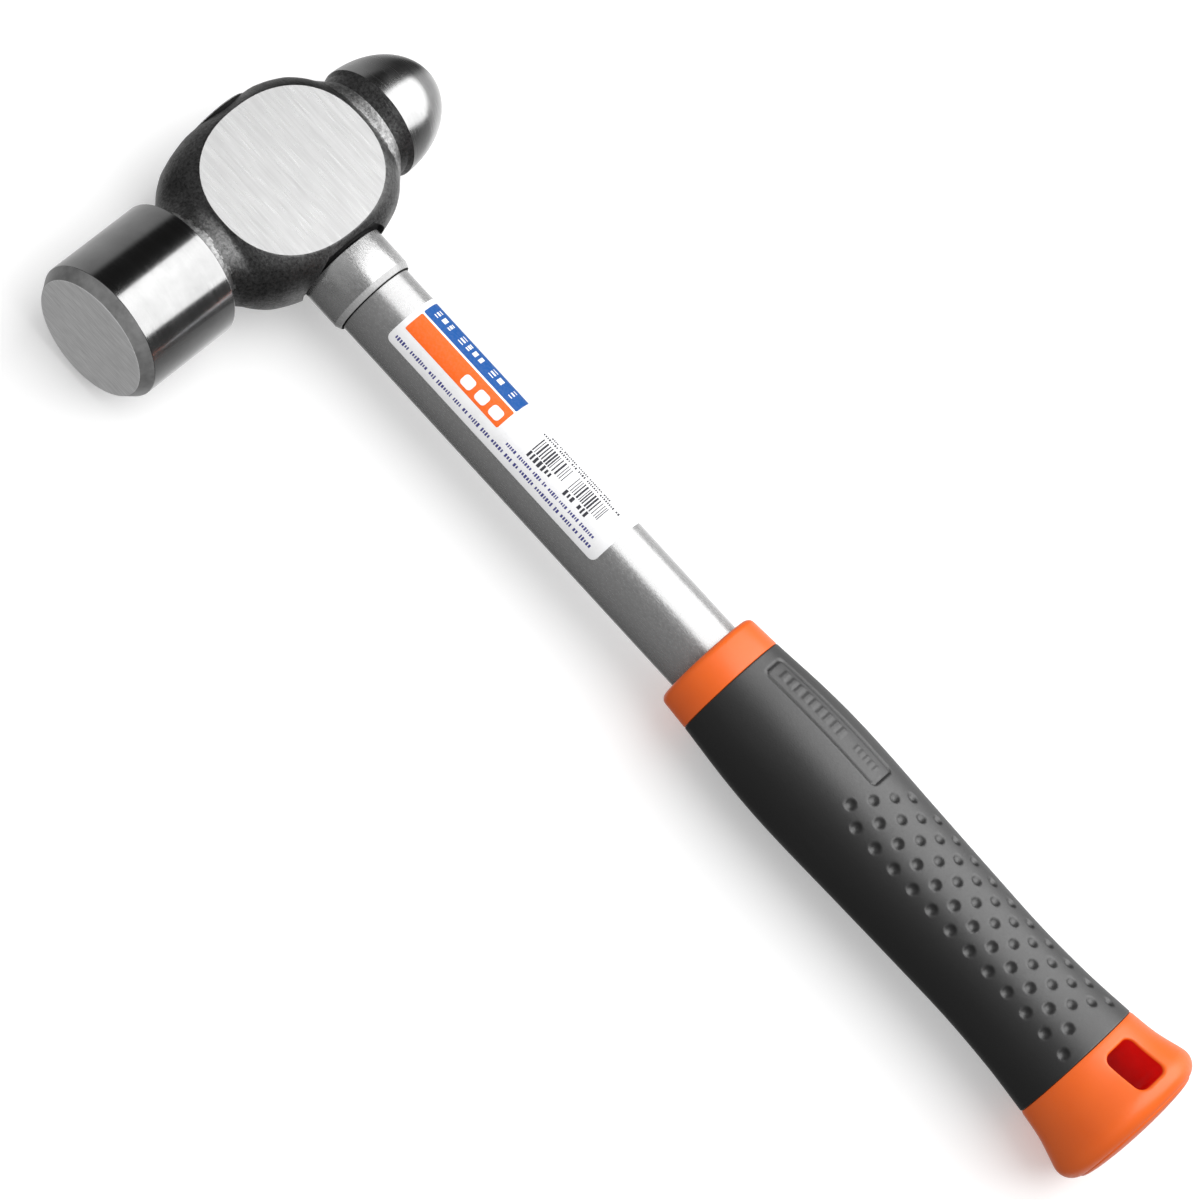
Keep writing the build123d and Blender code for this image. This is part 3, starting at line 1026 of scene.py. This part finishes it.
def strokes(sheet, x_start, x_end, angle, height, tall, number, seed):
    """Row of small uneven strokes, in groups, that stands for a line of small print."""
    draw = random.Random(seed)
    to_angle = math.degrees(1 / TUBE_RADIUS)
    x = x_start
    while x < x_end - tall:
        for _ in range(draw.randint(*STROKES_IN_GROUP)):
            wide = tall * draw.uniform(*STROKE_WIDTHS)
            half = tall / 2 * draw.uniform(*STROKE_HEIGHTS) * to_angle
            if x + wide < x_end:
                wrapped(sheet, (x, x + wide, angle - half, angle + half), 0.05, height, number, 1, 2)
            x += wide + tall * STROKE_GAP
        x += tall * GROUP_GAP


def bars(sheet, x_start, x_end, angles, height, number, seed):
    """Plain bars of uneven width across the label."""
    draw = random.Random(seed)
    x = x_start
    while x < x_end - 0.5:
        width = draw.choice(BAR_WIDTHS)
        wrapped(sheet, (x, x + width, *angles), 0.03, height, number, 1, 8)
        x += width + draw.choice(BAR_SPACES)


def shank_label(white, blue, orange, dark, violet):
    """White film with plain printed blocks; strokes and bars stand for the small print."""
    length = LABEL_HIGH.x - LABEL_LOW.x
    height = LABEL_HIGH.z - TUBE_RADIUS - INK_HEIGHT * 2
    print_height = height + INK_HEIGHT
    over_print = height + 2 * INK_HEIGHT
    sheet = bmesh.new()
    outline = (LABEL_LOW.x, LABEL_HIGH.x, -LABEL_HALF_ANGLE, LABEL_HALF_ANGLE)
    wrapped(sheet, outline, LABEL_CORNER, height, WHITE, int(length), 72)
    wrapped(sheet, BLUE_BAND, 0.4, print_height, BLUE, 20, 24)
    wrapped(sheet, ORANGE_BLOCK, 0.4, print_height, ORANGE, 20, 24)
    strokes(sheet, BLUE_BAND[0] + 2, BLUE_BAND[1] - 1, -28, over_print, 3.2, WHITE, 4)
    for step in range(ORANGE_MARKS):
        x = ORANGE_BLOCK[0] + MARK_START + step * MARK_PITCH
        wrapped(sheet, (x, x + MARK_LENGTH, *MARK_ANGLES), 0.9, over_print, WHITE, 4, 8)
    for x_start, x_end, angle, tall, colour, seed in PRINT_ROWS:
        strokes(sheet, x_start, x_end, angle, print_height, tall, colour, seed)
    bar_middle = (BAR_BLOCK[0] + BAR_BLOCK[1]) / 2
    halves = [(BAR_BLOCK[0], bar_middle - BAR_GAP), (bar_middle + BAR_GAP, BAR_BLOCK[1])]
    for seed, (start, end) in enumerate(halves):
        bars(sheet, start, end, BAR_BLOCK[2:], print_height, DARK, seed)
        strokes(sheet, start, end - 2.5, BAR_BLOCK[3] + 6, print_height, 1.7, DARK, seed)
    piece = finish_mesh("printed_film", sheet, [white, blue, orange, dark, violet], 50)
    return joined(piece, "shank_label")


# ---------------------------------------------------------------- pieces

# painted shade in the seams beside the collar (near-black), walls of the eye, wedge with hammer marks,
# plug in the grip
painted_shade = one_grain("painted_seam_shade", grey(0.004), (2.0, 4), 0.7, 0.95, 0.04)
bore = one_grain("bore_steel", grey(0.06), ((3.0, 0.2, 0.2), 3), 0.4, 0.6, 0.02, 1.0)
wedge = one_grain("wedge_metal", (0.42, 0.42, 0.43), (0.5, 5), 0.32, 0.55, 0.08, 1.0)
plug = one_grain("plug_plastic", grey(0.05), (1.5, 3), 0.42, 0.6, 0.03)

hammer_head([
    polished_steel("poll_steel", 0.43, 0.1),
    chamfer_steel(),
    face_steel(),
    cheek_steel(),
    forged_steel("forged_steel", 0.055, 0.24),
    bore,
    painted_shade,
    forged_steel("neck_steel", 0.14, 0.62),
    polished_steel("dome_steel", 0.5, 0.18),
])
shank_tube(plated_steel("plated_tube", 0.58, 0.72), painted_shade)
shank_collar(plated_steel("plated_collar", 0.8, 0.85), painted_shade, plated_steel("collar_edge", 0.5, 0.3))
eye_wedge(wedge)
grip_core(orange_plastic(), painted_hole_shade())
grip_cover(black_rubber())
shank_label(
    white_film(),
    ink("blue_ink", (0.001, 0.085, 0.34)),
    ink("orange_ink", (0.88, 0.13, 0.006)),
    ink("dark_ink", (0.03, 0.03, 0.04)),
    ink("violet_ink", (0.05, 0.05, 0.22)),
)
for node, material in {"damping_dowel": dowel_wood(), "tube_end_plug": plug}.items():
    hidden_piece = frame["nodes"][node]
    hidden_piece.data.materials.clear()
    hidden_piece.data.materials.append(material)

# ---------------------------------------------------------------- floor, light and camera

FLOOR_SIZE = 6.0
FLOOR_GLOW = 0.3                # keeps the hammer's shadow light
LIGHT_DISTANCE = 1.5
LIGHT_LEAN = 34.5               # from straight up towards the ball, degrees
LIGHT_SIDEWAYS = 20.0           # towards the butt, degrees
LIGHT_SIZE = (1.93, 2.95)       # along the shank, across it
LIGHT_POWER = 35.0
FILL_POWER = 18.0
FILL_SIZE = (3.0, 3.0)
FILL_HEIGHT = 2.2
AMBIENT = 0.48                  # grey of the room for matt surfaces
SHADES_ALONG_SHANK = [(-180, 0.5), (-150, 0.6), (-100, 0.38), (-72, 0.26), (-62, 0.02), (-14, 0.008),
                      (55, 0.03), (90, 0.08), (97, 0.15), (116, 0.26), (136, 0.42), (158, 0.66)]
SHADES_ALONG_HEAD = [(-180, 0.06), (-150, 0.07), (-110, 0.1), (-75, 0.08), (-45, 0.03), (70, 0.3),
                     (90, 0.5), (104, 0.6), (119, 0.85), (139, 1.15), (160, 0.7), (180, 0.03)]
FRONT_GLOW = 0.24               # more grey of the room high up on the striking face's side
# ranges of a direction's X, Y or Z in the room: from, to, and the result at each of them
BALL_SHIFT = (0.55, 0.75, 0.0, 0.3)             # Y: the crossing lies further out past the ball
ROW_CROSSING = (0.1, 0.32, 0.0, 1.0)            # X: from the head's shades to the shank's
BEHIND_FACE = (-0.15, 0.1, 0.0, 1.0)            # Y: the face's side has the head's shades only
DARK_PAST_BALL = (0.55, 0.85, 1.0, 0.06)        # Y and X: the corner past the ball, away from
DARK_PAST_EYE = (-0.22, -0.1, 0.06, 1.0)        # the butt, is dark
GLOW_RANGES = ((-0.3, -0.12, FRONT_GLOW, 0.0), (0.15, 0.4, 0.0, 1.0), (0.15, 0.3, 0.0, 1.0))
CAMERA_AZIMUTH = 7.97
CAMERA_ELEVATION = 60.65
CAMERA_ROLL = 40.5
CAMERA_DISTANCE = 1.419
CAMERA_LENS = 183.5
AIM_OFFSET = Vector((-15.05, -4.43, 0)) * MM     # from the middle of the hammer's box


def floor_height(x, y):
    """Floor under the three places that the lying hammer rests on, in mm about the centre."""
    along_head = (POLL_RADIUS - BALL_RADIUS) / (POLL_BACK + BALL_RIM_END)
    at_poll = -POLL_RADIUS + along_head * POLL_BACK
    along_shank = (-BUTT_RADIUS - at_poll) / BUTT_MAX_X
    return at_poll + along_shank * x + along_head * y


def add_floor():
    """Floor that the camera and the shadow see, and no reflected or scattered light."""
    sheet = bmesh.new()
    half = FLOOR_SIZE / 2 / MM
    corners = [(-half, -half), (half, -half), (half, half), (-half, half)]
    sheet.faces.new([sheet.verts.new((x, y, floor_height(x, y))) for x, y in corners])
    floor = finish_mesh("floor", sheet, [floor_paint()])
    floor.visible_glossy = False
    floor.visible_diffuse = False


def area_light(name, size, power):
    """Light that shines down; size is (along X, along Y)."""
    light = bpy.data.lights.new(name, "AREA")
    light.shape = "RECTANGLE"
    light.size, light.size_y = size
    light.energy = power
    lamp = bpy.data.objects.new(name, light)
    bpy.context.scene.collection.objects.link(lamp)
    return lamp


def add_lights():
    """Main softbox, and a weak light from above that evens the floor and is in no reflection."""
    softbox = area_light("softbox", LIGHT_SIZE, LIGHT_POWER)
    lean = Quaternion((1, 0, 0), -math.radians(LIGHT_LEAN))
    sideways = Quaternion((0, 1, 0), math.radians(LIGHT_SIDEWAYS))
    softbox.rotation_mode = "QUATERNION"
    softbox.rotation_quaternion = lean @ sideways
    softbox.location = CENTRE + softbox.rotation_quaternion @ Vector((0, 0, LIGHT_DISTANCE))
    overhead = area_light("overhead", FILL_SIZE, FILL_POWER)
    overhead.location = CENTRE + Vector((0, 0, FILL_HEIGHT))
    overhead.visible_glossy = False


def combined(tree, operation, *values):
    """Result of a Math node."""
    return new_node(tree, "ShaderNodeMath", dict(enumerate(values)), operation=operation).outputs[0]


def room_shades(tree, sideways, upward, stops):
    """Grey of the room by angle from straight up; stops are (degrees, grey) from -180 to 180."""
    angle = combined(tree, "ARCTAN2", sideways, upward)
    fraction = map_range(tree, angle, -math.pi, math.pi, 0.0, 1.0)
    return colour_ramp(tree, fraction, [((at + 180) / 360, grey(shade)) for at, shade in stops])


def background(tree, colour, strength=1.0):
    return new_node(tree, "ShaderNodeBackground", {"Color": colour, "Strength": strength}).outputs[0]


def reflected_room(tree):
    """Room of greys that only reflections see."""
    direction = tree.nodes.new("ShaderNodeTexCoord").outputs["Generated"]
    x, y, z = new_node(tree, "ShaderNodeSeparateXYZ", {0: direction}).outputs
    sideways = combined(tree, "ABSOLUTE", x)
    from_ball = combined(tree, "SUBTRACT", sideways, map_range(tree, y, *BALL_SHIFT))
    crossing = map_range(tree, from_ball, *ROW_CROSSING)
    shades = new_node(tree, "ShaderNodeMixRGB", {
        "Fac": combined(tree, "MULTIPLY", crossing, map_range(tree, y, *BEHIND_FACE)),
        "Color1": room_shades(tree, y, z, SHADES_ALONG_HEAD),
        "Color2": room_shades(tree, x, z, SHADES_ALONG_SHANK),
    })
    to_face, upwards, outwards = [
        map_range(tree, part, *limits) for part, limits in zip((y, z, sideways), GLOW_RANGES)]
    glow = combined(tree, "MULTIPLY", combined(tree, "MULTIPLY", to_face, upwards), outwards)
    inputs = {"Fac": 1.0, "Color1": shades.outputs["Color"], "Color2": glow}
    brighter = new_node(tree, "ShaderNodeMixRGB", inputs, blend_type="ADD")
    past_ball = map_range(tree, y, *DARK_PAST_BALL)
    past_eye = map_range(tree, x, *DARK_PAST_EYE)
    strength = combined(tree, "MAXIMUM", past_ball, past_eye)
    return background(tree, brighter.outputs["Color"], strength)


def add_room():
    """White backdrop for the camera, even grey for matt surfaces, and the reflected room."""
    world = bpy.data.worlds.new("studio")
    world.use_nodes = True
    bpy.context.scene.world = world
    tree = world.node_tree
    tree.nodes.clear()
    path = tree.nodes.new("ShaderNodeLightPath")
    lighting = new_node(tree, "ShaderNodeMixShader", {
        0: path.outputs["Is Glossy Ray"],
        1: background(tree, (*grey(AMBIENT), 1)),
        2: reflected_room(tree),
    })
    surface = new_node(tree, "ShaderNodeMixShader", {
        0: path.outputs["Is Camera Ray"],
        1: lighting.outputs[0],
        2: background(tree, (1, 1, 1, 1)),
    })
    new_node(tree, "ShaderNodeOutputWorld", {"Surface": surface.outputs[0]})
    world.cycles.sampling_method = "NONE"


def add_camera():
    lens = bpy.data.cameras.new("camera")
    lens.lens = CAMERA_LENS
    lens.clip_end = 20
    camera = bpy.data.objects.new("camera", lens)
    azimuth, elevation = math.radians(CAMERA_AZIMUTH), math.radians(CAMERA_ELEVATION)
    outward = Vector((
        math.sin(azimuth) * math.cos(elevation),
        -math.cos(azimuth) * math.cos(elevation),
        math.sin(elevation),
    ))
    middle = (CAD_BOX[0] + CAD_BOX[1]) / 2
    camera.location = middle + AIM_OFFSET + outward * CAMERA_DISTANCE
    roll = Quaternion((0, 0, 1), math.radians(CAMERA_ROLL))
    camera.rotation_mode = "QUATERNION"
    camera.rotation_quaternion = (-outward).to_track_quat("-Z", "Y") @ roll
    bpy.context.scene.collection.objects.link(camera)
    bpy.context.scene.camera = camera


add_floor()
add_lights()
add_room()
add_camera()
bpy.context.scene.view_settings.view_transform = "Standard"
